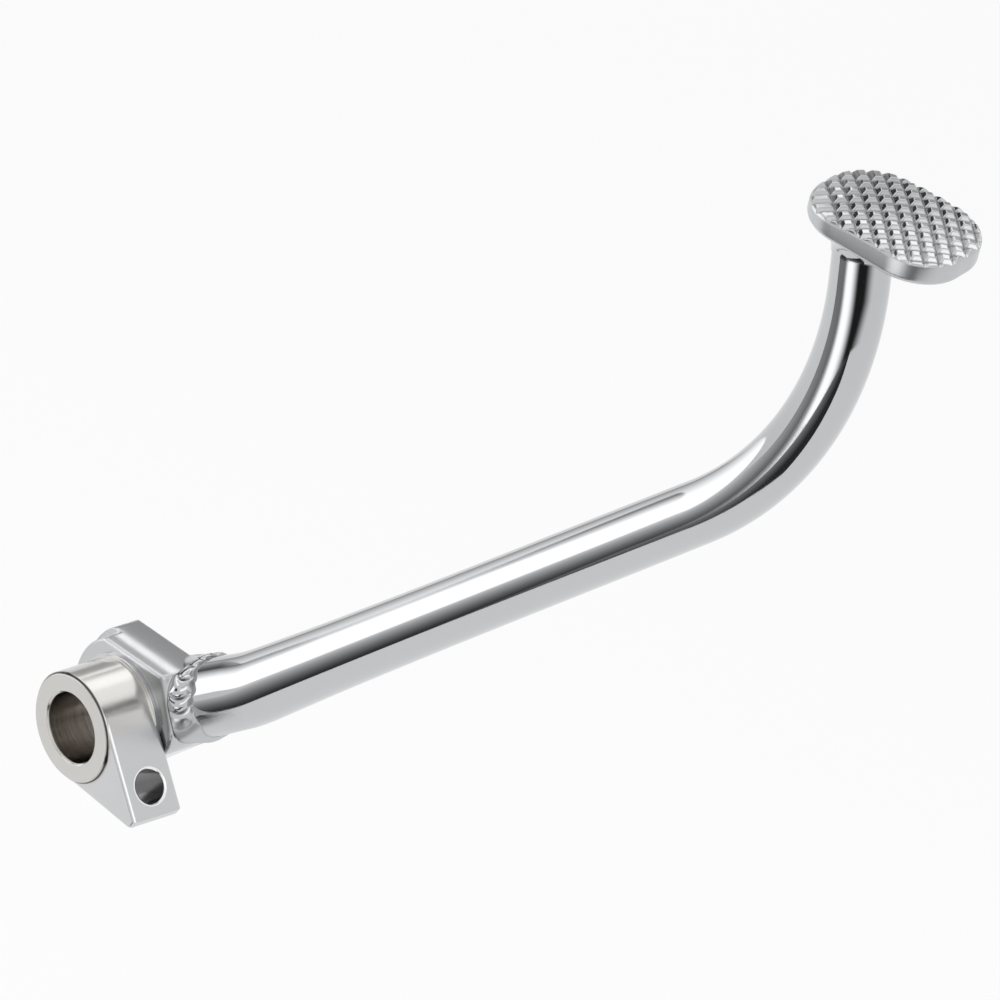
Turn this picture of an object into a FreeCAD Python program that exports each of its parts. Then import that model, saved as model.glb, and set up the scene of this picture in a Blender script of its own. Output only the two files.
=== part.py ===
import FreeCAD, Part
import math
import os

import Sketcher

# Motorbike brake pedal: a pivot boss with a rod lug, a hub block, a bent bar arm and a treaded foot pad.
# Millimetres and degrees. X is forward, Z is up and Y is the pivot axis, towards the outer side.
# The origin is on the pivot axis at the middle of the bore, where the boss's shoulder meets the block.

Vector = FreeCAD.Vector

doc = FreeCAD.newDocument("brake_pedal")
sheet = doc.addObject("Spreadsheet::Sheet", "Sizes")


class Formula:
    """A number with the text of the formula that the document binds it by."""

    def __init__(self, value, text):
        self.value = value
        self.text = text

    def __add__(self, other):
        other = formula(other)
        return Formula(self.value + other.value, "(%s + %s)" % (self.text, other.text))

    def __sub__(self, other):
        other = formula(other)
        return Formula(self.value - other.value, "(%s - %s)" % (self.text, other.text))

    def __mul__(self, other):
        other = formula(other)
        return Formula(self.value * other.value, "(%s * %s)" % (self.text, other.text))

    def __truediv__(self, other):
        other = formula(other)
        return Formula(self.value / other.value, "(%s / %s)" % (self.text, other.text))

    def __radd__(self, other):
        return formula(other) + self

    def __rsub__(self, other):
        return formula(other) - self

    def __rmul__(self, other):
        return formula(other) * self

    def __neg__(self):
        return Formula(-self.value, "(-%s)" % self.text)


def formula(number):
    if isinstance(number, Formula):
        return number
    return Formula(float(number), "(%r)" % float(number))


def sine(angle):
    return Formula(math.sin(math.radians(angle.value)), "sin(%s)" % angle.text)


def cosine(angle):
    return Formula(math.cos(math.radians(angle.value)), "cos(%s)" % angle.text)


def tangent(angle):
    return Formula(math.tan(math.radians(angle.value)), "tan(%s)" % angle.text)


def root(area):
    return Formula(math.sqrt(area.value), "sqrt(%s)" % area.text)


def size(alias, number):
    """Writes one driving dimension to the sheet and gives it as a formula."""
    size.row += 1
    sheet.set("A%d" % size.row, alias)
    cell = "B%d" % size.row
    sheet.set(cell, str(number))
    sheet.setAlias(cell, alias)
    return Formula(float(number), "Sizes.%s" % alias)


size.row = 0
ZERO = formula(0)

# Pivot boss: the turned sleeve
bore_dia = size("bore_dia", 17)
bore_chamfer = size("bore_chamfer", 0.45)
sleeve_dia = size("sleeve_dia", 27)
sleeve_chamfer = size("sleeve_chamfer", 0.6)
sleeve_length = size("sleeve_length", 13.9)
shoulder_dia = size("shoulder_dia", 28.6)
shoulder_width = size("shoulder_width", 1.0)
spigot_dia = size("spigot_dia", 22)
spigot_proud = size("spigot_proud", 1.5)

# Pivot boss: the cross-drilled rod lug, tangent to the sleeve on both sides
lug_setback = size("lug_setback", 0.6)
lug_droop = size("lug_droop", 31.1)
lug_half_angle = size("lug_half_angle", 25.9)
lug_reach = size("lug_reach", 24.6)
lug_corner = size("lug_corner", 2)
lug_front_edge = size("lug_front_edge", 0.7)
lug_rear_edge = size("lug_rear_edge", 1.2)
rod_hole_dia = size("rod_hole_dia", 8)
rod_hole_reach = size("rod_hole_reach", 17.5)
rod_hole_chamfer = size("rod_hole_chamfer", 0.35)

# Hub block: a plate with a stepped round end, a flat top and a tilted weld face
block_thickness = size("block_thickness", 12.9)
block_step = size("block_step", 5.2)
block_step_radius = size("block_step_radius", 17.7)
block_end_radius = size("block_end_radius", 19.3)
block_top = size("block_top", 15.65)
block_under_reach = size("block_under_reach", 13.1)
block_under_angle = size("block_under_angle", 50.5)
block_corner = size("block_corner", 8)
block_shoulder = size("block_shoulder", 1.8)
block_edge = size("block_edge", 0.5)
face_tilt = size("face_tilt", 22)
face_reach = size("face_reach", 17.84)
stub_dia = size("stub_dia", 20)
stub_length = size("stub_length", 3)
spot_face_dia = size("spot_face_dia", 25)

# Pedal arm: a round bar bent twice in one upright plane, drawn down towards the pad
arm_side = size("arm_side", 12.8)
arm_height = size("arm_height", 8.1)
arm_yaw = size("arm_yaw", 15)
arm_leave_angle = size("arm_leave_angle", 31.4)
arm_leave_length = size("arm_leave_length", 14.2)
arm_rise_angle = size("arm_rise_angle", 38.9)
arm_rise_length = size("arm_rise_length", 194.1)
arm_post_length = size("arm_post_length", 60.5)
arm_first_bend = size("arm_first_bend", 60)
arm_second_bend = size("arm_second_bend", 95.7)
arm_root_dia = size("arm_root_dia", 18.8)
arm_run_dia = size("arm_run_dia", 16.2)
arm_bend_dia = size("arm_bend_dia", 15.05)
arm_post_dia = size("arm_post_dia", 14.1)
arm_overrun = size("arm_overrun", 8)
arm_neck_length = size("arm_neck_length", 30)

# Foot pad: a crowned plate with a pyramid tread at 45 degrees, set on the arm behind its middle
pad_length = size("pad_length", 40)
pad_width = size("pad_width", 29)
pad_corner = size("pad_corner", 12.5)
pad_height = size("pad_height", 7.7)
pad_crown_radius = size("pad_crown_radius", 110)
pad_crest = size("pad_crest", 5)
pad_sweep = size("pad_sweep", 40)
pad_lip = size("pad_lip", 1.6)
pad_lower_edge = size("pad_lower_edge", 1.8)
pad_forward = size("pad_forward", 7.1)
pad_tilt = size("pad_tilt", 8.7)
tread_pitch = size("tread_pitch", 3.53)
tread_depth = size("tread_depth", 1.1)
tread_groove_width = size("tread_groove_width", 2.0)
tread_clearance = size("tread_clearance", 0.5)
TREAD_GROOVES_EACH_SIDE = 5

# Welds
weld_ring_dia = size("weld_ring_dia", 18.9)
ripple_count = size("ripple_count", 22)
bead_radius = size("bead_radius", 2.1)
bead_stand_off = size("bead_stand_off", 0.8)
collar_dia = size("collar_dia", 21)
collar_height = size("collar_height", 7.2)
collar_hollow = size("collar_hollow", 7)
collar_toe = size("collar_toe", 0.25)
collar_gap = size("collar_gap", 0.04)
ring_weld_leg = size("ring_weld_leg", 1.4)


def new_body(label):
    body = doc.addObject("PartDesign::Body", label)
    body.Label = label
    return body


def new_sketch(body, plane, name, offset=(ZERO, ZERO, ZERO), turn_axis=None, turn=ZERO):
    """A sketch on one of the body's origin planes, moved and turned in that plane's own axes."""
    sketch = body.newObject("Sketcher::SketchObject", name)
    support = [item for item in body.Origin.OriginFeatures if item.Role == plane][0]
    sketch.AttachmentSupport = [(support, "")]
    sketch.MapMode = "FlatFace"
    axis = turn_axis or Vector(1, 0, 0)
    base = Vector(*[part.value for part in offset])
    sketch.AttachmentOffset = FreeCAD.Placement(base, FreeCAD.Rotation(axis, turn.value))
    for letter, part in zip("xyz", offset):
        if part is not ZERO:
            sketch.setExpression("AttachmentOffset.Base.%s" % letter, part.text)
    if turn is not ZERO:
        sketch.setExpression("AttachmentOffset.Rotation.Angle", turn.text)
    return sketch


def bind(sketch, amount, *constraint):
    """Adds a dimension to a sketch and binds it to its formula."""
    index = sketch.addConstraint(Sketcher.Constraint(*constraint, amount.value))
    sketch.setExpression("Constraints[%d]" % index, amount.text)


def outline(sketch, corners, arcs=None, closed=True):
    """Joins corners by lines, or by arcs given as {corner index: (radius, centre, turn)}."""
    arcs = arcs or {}
    points = [Vector(x.value, y.value, 0) for x, y in corners]
    count = len(points) if closed else len(points) - 1
    starts = []
    for index in range(count):
        first = points[index]
        last = points[(index + 1) % len(points)]
        if index in arcs:
            radius, centre, turn = arcs[index]
            middle = Vector(centre[0].value, centre[1].value, 0)
            begin, end = (first, last) if turn > 0 else (last, first)
            circle = Part.Circle(middle, Vector(0, 0, 1), radius.value)
            edge = Part.ArcOfCircle(circle, circle.parameter(begin), circle.parameter(end))
            starts.append((1, 2) if turn > 0 else (2, 1))
        else:
            edge = Part.LineSegment(first, last)
            starts.append((1, 2))
        sketch.addGeometry(edge, False)
    first_edge = sketch.GeometryCount - count
    for index in range(count if closed else count - 1):
        following = (index + 1) % count
        sketch.addConstraint(Sketcher.Constraint(
            "Coincident", first_edge + index, starts[index][1], first_edge + following, starts[following][0]))
    for index, (x, y) in enumerate(corners):
        edge, end = (index, 0) if index < count else (index - 1, 1)
        bind(sketch, x, "DistanceX", -1, 1, first_edge + edge, starts[edge][end])
        bind(sketch, y, "DistanceY", -1, 1, first_edge + edge, starts[edge][end])
    for index, (radius, centre, turn) in arcs.items():
        bind(sketch, radius, "Radius", first_edge + index)


def circle(sketch, x, y, radius):
    index = sketch.addGeometry(Part.Circle(Vector(x.value, y.value, 0), Vector(0, 0, 1), radius.value), False)
    bind(sketch, x, "DistanceX", -1, 1, index, 3)
    bind(sketch, y, "DistanceY", -1, 1, index, 3)
    bind(sketch, radius, "Radius", index)


def axis_line(sketch, first, last):
    """Adds a construction line for a feature to turn about."""
    points = [Vector(x.value, y.value, 0) for x, y in (first, last)]
    index = sketch.addGeometry(Part.LineSegment(*points), True)
    for end, (x, y) in enumerate((first, last)):
        bind(sketch, x, "DistanceX", -1, 1, index, end + 1)
        bind(sketch, y, "DistanceY", -1, 1, index, end + 1)


def add_feature(body, kind, name, sketch):
    feature = body.newObject("PartDesign::%s" % kind, name)
    feature.Profile = sketch
    return feature


def pad_up(body, name, sketch, length):
    """Extrudes a sketch along its plane's own direction."""
    feature = add_feature(body, "Pad", name, sketch)
    feature.setExpression("Length", length.text)
    return feature


def revolve(body, kind, name, sketch, axis, sweep=None):
    """Turns a sketch about an axis: all the way round, or half of the sweep to each side."""
    feature = add_feature(body, kind, name, sketch)
    feature.ReferenceAxis = (sketch, [axis])
    feature.Angle = 360
    if sweep:
        feature.Midplane = True
        feature.setExpression("Angle", sweep.text)
    return feature


def cut_through(body, name, sketch):
    """Cuts a sketch through the whole body, both ways from its plane."""
    feature = add_feature(body, "Pocket", name, sketch)
    feature.Type = "ThroughAll"
    feature.Midplane = True
    return feature


def dress(body, kind, name, chosen, amount):
    """Rounds or chamfers the edges of the body so far that the test picks."""
    doc.recompute()
    base = body.Tip
    names = ["Edge%d" % (index + 1) for index, edge in enumerate(base.Shape.Edges) if chosen(edge)]
    feature = body.newObject("PartDesign::%s" % kind, name)
    feature.Base = (base, names)
    feature.setExpression("Radius" if kind == "Fillet" else "Size", amount.text)
    return feature


def near(first, second):
    return abs(first - second) < 0.01


def lies_at_depth(edge, depth):
    """True for an edge that stays at one place along the pivot axis."""
    return all(near(vertex.Point.y, depth.value) for vertex in edge.Vertexes)


def on_line(point, direction, distance):
    """True where a point of the side view lies on the line at that distance along that direction."""
    return near(point.x * direction[0].value + point.z * direction[1].value, distance.value)


def along(point, direction, distance):
    return (point[0] + direction[0] * distance, point[1] + direction[1] * distance)


def strip_beyond(foot, sideways, outward, reach):
    """A square on the far side of a line, wide and deep enough to trim a piece there."""
    left = along(foot, sideways, -reach)
    right = along(foot, sideways, reach)
    return [left, right, along(right, outward, reach), along(left, outward, reach)]


def place(body, base, yaw=ZERO, pitch=ZERO):
    """Binds a body's place: turned about its own Y by the pitch, then about Z by the yaw."""
    texts = tuple(part.text for part in base)
    turn = "rotation(%s; %s; 0)" % (yaw.text, pitch.text)
    body.setExpression("Placement", "placement(vector(%s; %s; %s); %s)" % (texts + (turn,)))


PIVOT = (ZERO, ZERO)
# The way up in the axes of a sketch on the XZ plane
UPRIGHT = Vector(0, 1, 0)

# Places along the pivot axis
boss_front = -(sleeve_length + shoulder_width)
shoulder_front = -shoulder_width
lug_front = boss_front + lug_setback
lug_rear = ZERO
block_rear = block_thickness
boss_rear = block_rear + spigot_proud

bore_radius = bore_dia / 2
sleeve_radius = sleeve_dia / 2
spigot_radius = spigot_dia / 2

# Side view directions: the lug's drilled face and underside, the weld face and the block's underside
drilled_angle = 90 - lug_droop - lug_half_angle
drilled_out = (cosine(drilled_angle), sine(drilled_angle))
drilled_down = (drilled_out[1], -drilled_out[0])
underside_angle = lug_droop - lug_half_angle
underside_out = (-sine(underside_angle), -cosine(underside_angle))
underside_down = (cosine(underside_angle), -sine(underside_angle))
face_out = (cosine(face_tilt), sine(face_tilt))
face_up = (-sine(face_tilt), cosine(face_tilt))
under_out = (cosine(block_under_angle), -sine(block_under_angle))
under_back = (under_out[1], -under_out[0])


# The arm's line in its own upright plane, from the middle of the weld face
leave = (cosine(arm_leave_angle), sine(arm_leave_angle))
rise = (cosine(arm_rise_angle), sine(arm_rise_angle))
up = (ZERO, formula(1))
pad_along = (cosine(pad_tilt), -sine(pad_tilt))
pad_up_from = (sine(pad_tilt), cosine(pad_tilt))
first_tangent = arm_first_bend * tangent((arm_rise_angle - arm_leave_angle) / 2)
second_tangent = arm_second_bend * tangent((90 - arm_rise_angle) / 2)
arm_first = along(PIVOT, leave, arm_leave_length)
arm_second = along(arm_first, rise, arm_rise_length)
arm_end = along(arm_second, up, arm_post_length)
arm_base_x = (face_reach - face_out[1] * arm_height) / face_out[0]
arm_base = (arm_base_x, arm_side, arm_height)


def in_arm_plane(point):
    """A point of the arm's plane in the pedal's own frame."""
    across = point[0]
    return (arm_base_x + across * cosine(arm_yaw), arm_side + across * sine(arm_yaw), arm_height + point[1])


def make_pivot_boss():
    body = new_body("pivot_boss")

    lug = new_sketch(body, "XZ_Plane", "lug_profile")
    face_top = along(PIVOT, drilled_out, sleeve_radius)
    under_top = along(PIVOT, underside_out, sleeve_radius)
    under_end = along(under_top, underside_down, lug_reach)
    outline(lug, [face_top, along(face_top, drilled_down, lug_reach), under_end, under_top])
    pad_up(body, "lug_forged", lug, -lug_front)

    def is_toe(edge):
        return all(near(vertex.Point.x, under_end[0].value) for vertex in edge.Vertexes)

    def is_hole_mouth(edge):
        return (isinstance(edge.Curve, Part.Circle) and near(edge.Curve.Radius, rod_hole_dia.value / 2)
                and on_line(edge.Curve.Center, drilled_out, sleeve_radius))

    dress(body, "Fillet", "lug_toe", is_toe, lug_corner)
    dress(body, "Fillet", "lug_front_rim", lambda edge: lies_at_depth(edge, lug_front), lug_front_edge)
    dress(body, "Fillet", "lug_rear_rim", lambda edge: lies_at_depth(edge, lug_rear), lug_rear_edge)

    turned = new_sketch(body, "XY_Plane", "boss_profile")
    outline(turned, [
        (ZERO, boss_front),
        (sleeve_radius - sleeve_chamfer, boss_front),
        (sleeve_radius, boss_front + sleeve_chamfer),
        (sleeve_radius, shoulder_front),
        (shoulder_dia / 2, shoulder_front),
        (shoulder_dia / 2, ZERO),
        (spigot_radius, ZERO),
        (spigot_radius, boss_rear),
        (ZERO, boss_rear),
    ])
    revolve(body, "Revolution", "boss_turned", turned, "V_Axis")

    bore = new_sketch(body, "XY_Plane", "bore_profile")
    outline(bore, [
        (ZERO, boss_front),
        (bore_radius + bore_chamfer, boss_front),
        (bore_radius, boss_front + bore_chamfer),
        (bore_radius, boss_rear - bore_chamfer),
        (bore_radius + bore_chamfer, boss_rear),
        (ZERO, boss_rear),
    ])
    revolve(body, "Groove", "bore", bore, "V_Axis")

    drilled = new_sketch(body, "YZ_Plane", "rod_hole_profile", turn=-drilled_angle)
    circle(drilled, (lug_front + lug_rear) / 2, -rod_hole_reach, rod_hole_dia / 2)
    cut_through(body, "rod_hole", drilled)
    dress(body, "Chamfer", "rod_hole_mouth", is_hole_mouth, rod_hole_chamfer)


def make_hub_block():
    body = new_body("hub_block")
    top_corner = (face_reach - face_out[1] * block_top) / face_out[0]
    across = face_out[0] * under_out[1] - face_out[1] * under_out[0]
    low_corner = ((face_reach * under_out[1] - block_under_reach * face_out[1]) / across,
                  (block_under_reach * face_out[0] - face_reach * under_out[0]) / across)

    def half_top(radius):
        return root(radius * radius - block_top * block_top)

    def plate(name, front, rear, radius):
        """One step of the block, with a round end of this radius about the pivot."""
        sketch = new_sketch(body, "XZ_Plane", name + "_profile", (ZERO, ZERO, -rear))
        half_under = root(radius * radius - block_under_reach * block_under_reach)
        under_end = along(along(PIVOT, under_out, block_under_reach), under_back, half_under)
        outline(sketch, [(-half_top(radius), block_top), (top_corner, block_top), low_corner, under_end],
                {3: (radius, PIVOT, -1)})
        pad_up(body, name, sketch, rear - front)

    def runs_across_at(x, z):
        """Picks the edges along the pivot axis at one corner of the side view."""
        def test(edge):
            return all(near(vertex.Point.x, x.value) and near(vertex.Point.z, z.value)
                       for vertex in edge.Vertexes)
        return test

    def is_rim(edge):
        return lies_at_depth(edge, ZERO) or lies_at_depth(edge, block_rear)

    plate("block_front_step", ZERO, block_step, block_step_radius)
    plate("block_main", block_step, block_rear, block_end_radius)
    dress(body, "Fillet", "block_low_corner", runs_across_at(*low_corner), block_corner)
    at_shoulder = runs_across_at(-half_top(block_end_radius), block_top)
    dress(body, "Fillet", "block_shoulder", at_shoulder, block_shoulder)
    dress(body, "Fillet", "block_face_edge", runs_across_at(top_corner, block_top), block_edge)
    dress(body, "Chamfer", "block_rims", is_rim, block_edge)

    stub = new_sketch(body, "XZ_Plane", "stub_profile", (arm_base_x, arm_height, -arm_side))
    stub_radius = stub_dia / 2

    def behind_face(distance, out):
        return along(along(PIVOT, face_out, -distance), face_up, out)

    tip = behind_face(stub_length + stub_radius, ZERO)
    outline(stub, [tip, PIVOT, behind_face(ZERO, stub_radius), behind_face(stub_length, stub_radius)],
            {3: (stub_radius, behind_face(stub_length, ZERO), 1)})
    axis_line(stub, tip, PIVOT)
    revolve(body, "Revolution", "stub", stub, "Axis0")

    spot = new_sketch(body, "XZ_Plane", "spot_face_profile", (ZERO, ZERO, -block_rear))
    circle(spot, ZERO, ZERO, spot_face_dia / 2)
    feature = add_feature(body, "Pocket", "spot_face", spot)
    feature.Type = "ThroughAll"

    hole = new_sketch(body, "XZ_Plane", "spigot_hole_profile")
    circle(hole, ZERO, ZERO, spigot_radius)
    cut_through(body, "spigot_hole", hole)


def make_pedal_arm():
    body = new_body("pedal_arm")
    place(body, arm_base, arm_yaw)
    start = along(PIVOT, leave, -arm_overrun)
    top = along(arm_end, up, arm_overrun)
    bends = [along(arm_first, leave, -first_tangent), along(arm_first, rise, first_tangent),
             along(arm_second, rise, -second_tangent), along(arm_second, up, second_tangent)]

    def bend_centre(point, direction, radius):
        return along(point, (-direction[1], direction[0]), radius)

    spine = new_sketch(body, "XZ_Plane", "arm_line")
    outline(spine, [start] + bends + [top], {
        1: (arm_first_bend, bend_centre(bends[0], leave, arm_first_bend), 1),
        3: (arm_second_bend, bend_centre(bends[2], rise, arm_second_bend), 1),
    }, closed=False)

    def section(name, point, angle, dia):
        sketch = new_sketch(body, "YZ_Plane", name, (ZERO, point[1], point[0]), turn=-angle)
        circle(sketch, ZERO, ZERO, dia / 2)
        return sketch

    upright = formula(90)
    bar = add_feature(body, "AdditivePipe", "arm_bar",
                      section("arm_root", start, arm_leave_angle, arm_root_dia))
    bar.Spine = spine
    bar.Sections = [
        section("arm_neck", along(arm_first, rise, arm_neck_length), arm_rise_angle, arm_run_dia),
        section("arm_bend_start", bends[2], arm_rise_angle, arm_bend_dia),
        section("arm_bend_end", bends[3], upright, arm_post_dia),
        section("arm_top", top, upright, arm_post_dia),
    ]
    bar.Transformation = "Multisection"

    root_trim = new_sketch(body, "XZ_Plane", "arm_root_trim", turn_axis=UPRIGHT, turn=-arm_yaw)
    outline(root_trim, strip_beyond(PIVOT, face_up, (-face_out[0], -face_out[1]), 2 * arm_root_dia))
    cut_through(body, "arm_root_cut", root_trim)

    top_trim = new_sketch(body, "XZ_Plane", "arm_top_trim")
    outline(top_trim, strip_beyond(arm_end, pad_along, pad_up_from, 2 * arm_post_dia))
    cut_through(body, "arm_top_cut", top_trim)
    return body


def make_foot_pad():
    body = new_body("foot_pad")
    crest = along(arm_end, pad_along, pad_forward + pad_crest)
    place(body, in_arm_plane(crest), arm_yaw, pad_tilt)

    blank = new_sketch(body, "XY_Plane", "pad_profile")
    front = pad_length / 2 - pad_crest
    rear = -pad_length / 2 - pad_crest
    half_width = pad_width / 2
    front_flat = front - pad_corner
    rear_flat = rear + pad_corner
    flat_width = half_width - pad_corner
    outline(blank, [
        (rear_flat, -half_width), (front_flat, -half_width),
        (front, -flat_width), (front, flat_width),
        (front_flat, half_width), (rear_flat, half_width),
        (rear, flat_width), (rear, -flat_width),
    ], {
        1: (pad_corner, (front_flat, -flat_width), 1),
        3: (pad_corner, (front_flat, flat_width), 1),
        5: (pad_corner, (rear_flat, flat_width), 1),
        7: (pad_corner, (rear_flat, -flat_width), 1),
    })
    pad_up(body, "pad_blank", blank, pad_height)

    crown_centre = pad_height - pad_crown_radius

    def crown_height(distance):
        return crown_centre + root(pad_crown_radius * pad_crown_radius - distance * distance)

    crown_axis = ((-pad_length, crown_centre), (pad_length, crown_centre))
    crown = new_sketch(body, "XZ_Plane", "pad_crown_profile")
    outline(crown, [
        (-pad_length, crown_height(pad_length)), (pad_length, crown_height(pad_length)),
        (pad_length, pad_height + pad_lip), (-pad_length, pad_height + pad_lip),
    ], {0: (pad_crown_radius, (ZERO, crown_centre), -1)})
    axis_line(crown, *crown_axis)
    revolve(body, "Groove", "pad_crown", crown, "Axis0", pad_sweep)

    def is_lip(edge):
        return all(vertex.Point.z > pad_height.value / 2 for vertex in edge.Vertexes)

    def is_lower_rim(edge):
        return all(near(vertex.Point.z, 0) for vertex in edge.Vertexes)

    dress(body, "Fillet", "pad_lip_round", is_lip, pad_lip)
    dress(body, "Fillet", "pad_lower_round", is_lower_rim, pad_lower_edge)

    half_groove = tread_groove_width / 2 * (tread_depth + tread_clearance) / tread_depth
    for name, turn in (("tread_first", 45), ("tread_second", -45)):
        sketch = new_sketch(body, "XZ_Plane", name + "_profile", turn_axis=UPRIGHT, turn=formula(turn))
        for number in range(-TREAD_GROOVES_EACH_SIDE, TREAD_GROOVES_EACH_SIDE + 1):
            x = tread_pitch * number
            z = crown_height(x)
            outline(sketch, [(x, z - tread_depth), (x + half_groove, z + tread_clearance),
                             (x - half_groove, z + tread_clearance)])
        axis_line(sketch, *crown_axis)
        revolve(body, "Groove", name, sketch, "Axis0", pad_sweep)


def make_arm_weld(arm):
    body = new_body("arm_weld_ripples")
    place(body, arm_base, ZERO, 90 - face_tilt)
    sketch = new_sketch(body, "XZ_Plane", "ripple_profile")
    ring_radius = weld_ring_dia / 2
    foot = (ring_radius, ZERO)
    crest = (ring_radius, bead_stand_off + bead_radius)
    half_foot = root(bead_radius * bead_radius - bead_stand_off * bead_stand_off)
    outline(sketch, [foot, (ring_radius + half_foot, ZERO), crest],
            {1: (bead_radius, (ring_radius, bead_stand_off), 1)})
    axis_line(sketch, foot, crest)
    revolve(body, "Revolution", "ripple", sketch, "Axis0")
    doc.recompute()
    pattern = body.newObject("PartDesign::PolarPattern", "ripples")
    pattern.Originals = [doc.getObject("ripple")]
    pattern.Axis = ([item for item in body.Origin.OriginFeatures if item.Role == "Z_Axis"][0], [""])
    pattern.Angle = 360
    pattern.setExpression("Occurrences", ripple_count.text)
    body.Tip = pattern
    weld = doc.addObject("Part::Cut", "arm_weld")
    weld.Base = body
    weld.Tool = arm


def make_pad_weld():
    body = new_body("pad_weld")
    place(body, in_arm_plane(arm_end), arm_yaw)
    collar = new_sketch(body, "XZ_Plane", "collar_profile")
    inner = arm_post_dia / 2 + collar_gap
    brim = collar_dia / 2
    drop = brim * tangent(pad_tilt)
    toe = (inner + collar_toe, -collar_height)
    width = brim - toe[0]
    height = collar_height - drop
    chord = root(width * width + height * height)
    bow = root(collar_hollow * collar_hollow - chord * chord / 4)
    centre = (toe[0] + width / 2 + height / chord * bow, height / 2 - collar_height - width / chord * bow)
    outline(collar, [(inner, -collar_height), toe, (brim, -drop), (brim, drop), (inner, drop)],
            {1: (collar_hollow, centre, -1)})
    revolve(body, "Revolution", "collar", collar, "V_Axis")

    trim = new_sketch(body, "XZ_Plane", "collar_trim")
    outline(trim, strip_beyond(PIVOT, pad_along, pad_up_from, collar_dia))
    cut_through(body, "collar_cut", trim)


def make_boss_weld():
    body = new_body("boss_weld")
    sketch = new_sketch(body, "XY_Plane", "ring_weld_profile")
    outline(sketch, [(spigot_radius, block_rear), (spigot_radius + ring_weld_leg, block_rear),
                     (spigot_radius, boss_rear)])
    revolve(body, "Revolution", "ring_weld", sketch, "V_Axis")


make_pivot_boss()
make_hub_block()
make_boss_weld()
arm = make_pedal_arm()
make_foot_pad()
make_arm_weld(arm)
make_pad_weld()
doc.recompute()

for item in doc.Objects:
    if "Invalid" in item.State or "Error" in item.State:
        raise RuntimeError("%s did not build: %s" % (item.Label, item.State))

NODES = ["pivot_boss", "hub_block", "boss_weld", "pedal_arm", "arm_weld", "foot_pad", "pad_weld"]
pieces = {node: doc.getObjectsByLabel(node)[0] for node in NODES}
for node, piece in pieces.items():
    shape = piece.Shape
    if shape.isNull() or not shape.isValid() or len(shape.Solids) != 1:
        raise RuntimeError("%s is not one sound solid" % node)

os.makedirs("parts", exist_ok=True)
for node, piece in pieces.items():
    piece.Shape.exportStep("parts/%s.step" % node)
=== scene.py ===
"""A chromed brake pedal hung over a wide pale floor in soft studio light."""

import math

import bpy
from mathutils import Matrix, Vector


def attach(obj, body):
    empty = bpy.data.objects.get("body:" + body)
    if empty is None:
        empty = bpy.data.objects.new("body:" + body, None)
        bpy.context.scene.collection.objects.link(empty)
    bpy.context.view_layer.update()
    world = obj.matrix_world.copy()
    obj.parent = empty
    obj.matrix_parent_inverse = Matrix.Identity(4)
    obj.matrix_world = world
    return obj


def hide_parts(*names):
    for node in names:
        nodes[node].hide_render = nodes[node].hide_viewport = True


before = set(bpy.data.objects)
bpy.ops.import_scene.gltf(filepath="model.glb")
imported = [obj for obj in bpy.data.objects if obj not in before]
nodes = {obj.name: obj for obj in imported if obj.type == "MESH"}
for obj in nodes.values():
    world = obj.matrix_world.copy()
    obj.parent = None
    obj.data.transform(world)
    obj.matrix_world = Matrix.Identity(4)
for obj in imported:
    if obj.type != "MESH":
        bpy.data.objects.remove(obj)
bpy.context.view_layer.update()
scene = bpy.context.scene
scene.view_settings.view_transform = "Standard"

MM = 0.001
UP = Vector((0, 0, 1))

# The arm's line, as in the part's source, in millimetres and degrees
FACE_TILT = 22.0
FACE_REACH = 17.84
ARM_SIDE = 12.8
ARM_HEIGHT = 8.1
ARM_YAW = 15.0
LEAVE_ANGLE = 31.4
LEAVE_LENGTH = 14.2
RISE_ANGLE = 38.9
RISE_LENGTH = 194.1
POST_LENGTH = 60.5
FIRST_BEND = 60.0
SECOND_BEND = 95.7
ROOT_DIA = 18.8
RUN_DIA = 16.2
BEND_DIA = 15.05
POST_DIA = 14.1
OVERRUN = 8.0
NECK_LENGTH = 30.0
CLEAR_OF_FACE = 0.01

# The fineness of the arm's mesh
ARM_AROUND = 112
ROOT_STEPS = 20
FIRST_BEND_STEPS = 12
RUN_STEPS = 90
SECOND_BEND_STEPS = 90
POST_STEPS = 12

# The arm's weld, in millimetres: a bead laid in ripples on its upper side and drawn out smooth below
WELD_FACE_LEG = 2.9
WELD_ARM_LEG = 3.8
WELD_SIDE_EXTRA = 0.8
WELD_END_LEG = 1.0
WELD_RIPPLES = 17
WELD_RIPPLE_DEPTH = 1.6
WELD_RIPPLE_LEAN = 0.35
WELD_RIPPLE_DRIFT = 0.15
WELD_RIPPLE_MIDDLE = 0.75
WELD_RIPPLE_SHARE = 0.7
WELD_SINK = 0.7
WELD_TOE_PAINTED_SHADE = 0.25
WELD_AROUND = 528
WELD_PROFILE_STEPS = 14

# Where the weld is low, ends or runs behind the bar, as sines and cosines round it, and what it loses there
WELD_LOW = (0.0, -0.5)
WELD_ENDS = (0.55, 0.95)
WELD_BACK = (0.1, -0.4)
WELD_LOW_HOLLOW = 0.4
WELD_LOW_SMOOTHING = 0.9
WELD_END_SMOOTHING = 0.6
WELD_END_SHORTENING = 0.4
# Painted shade in the ripples' creases and at the bead's toes: where it starts and where it is full, by
# ripple height and across the bead
WELD_CREASE = (-0.1, -0.6)
WELD_TOE = (0.12, 0.0)

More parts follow.
